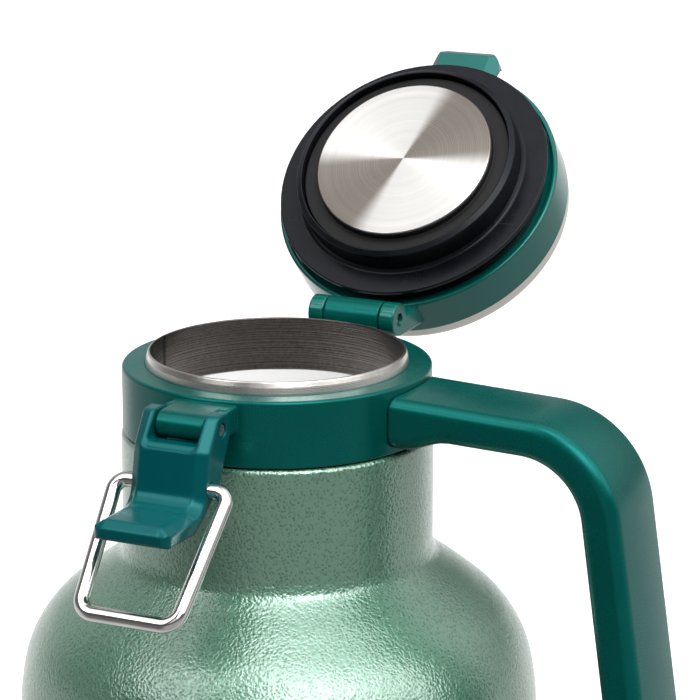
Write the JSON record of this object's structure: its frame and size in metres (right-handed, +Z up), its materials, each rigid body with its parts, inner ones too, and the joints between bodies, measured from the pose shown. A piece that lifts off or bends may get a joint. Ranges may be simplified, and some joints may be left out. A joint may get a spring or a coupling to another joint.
{
  "type": "vacuum flask",
  "caption": "Double-walled steel vacuum flask with a narrow neck, plastic collar, side handle, insulated hinged lid and a lever latch with a wire bail.",
  "frame": {"origin": "on the bottle axis at the base, where it stands", "axes": "+Z up along the bottle axis, latch towards -Y, lid hinge towards +Y, handle towards +X"},
  "size_m": [0.1797, 0.2037, 0.2951],
  "materials": {
    "hammered_paint": "hammered semi-gloss grey-green enamel",
    "base_steel": "brushed",
    "seal_metal": "dull",
    "getter_metal": "dull",
    "liner_steel": "turned and satin",
    "green_plastic": "satin moulded",
    "screw_steel": "plain",
    "bracket_steel": "plain",
    "pin_steel": "plain",
    "lid_plastic": "satin moulded",
    "cover_steel": "brushed",
    "foam": "foamed insulation",
    "black_plastic": "satin moulded",
    "black_rubber": "satin silicone rubber",
    "disc_steel": "spun",
    "lever_plastic": "satin moulded",
    "chrome_wire": "bright"
  },
  "bodies": {
    "flask": {"outer_shell": "hammered_paint", "outer_base": "hammered_paint", "base_cover": "base_steel", "vacuum_seal": "seal_metal", "getter": "getter_metal", "inner_liner": "liner_steel", "collar": "green_plastic", "handle": "green_plastic", "handle_screw_a": "screw_steel", "handle_screw_b": "screw_steel", "handle_bracket": "bracket_steel", "handle_screw_lower": "screw_steel", "hinge_pin": "pin_steel", "lever_pin": "pin_steel"},
    "lid": {"lid_cap": "lid_plastic", "lid_cover": "cover_steel", "lid_foam": "foam", "lid_plug": "black_plastic", "lid_gasket": "black_rubber", "plug_disc": "disc_steel"},
    "lever": {"latch_lever": "lever_plastic"},
    "bail": {"bail": "chrome_wire"}
  },
  "joints": [
    {"name": "lid_hinge", "type": "hinge", "parent": "flask", "child": "lid", "pos_m": [0, 0.04629, 0.23622], "axis": [1, 0, 0], "range_deg": [0, 135.6]},
    {"name": "lever_hinge", "type": "hinge", "parent": "flask", "child": "lever", "pos_m": [0, -0.0484, 0.23044], "axis": [1, 0, 0], "range_deg": [0, 10.5]},
    {"name": "bail_pivot", "type": "hinge", "parent": "lever", "child": "bail", "pos_m": [0, -0.05482, 0.21732], "axis": [-1, 0, 0], "range_deg": [0, 163.2]}
  ]
}
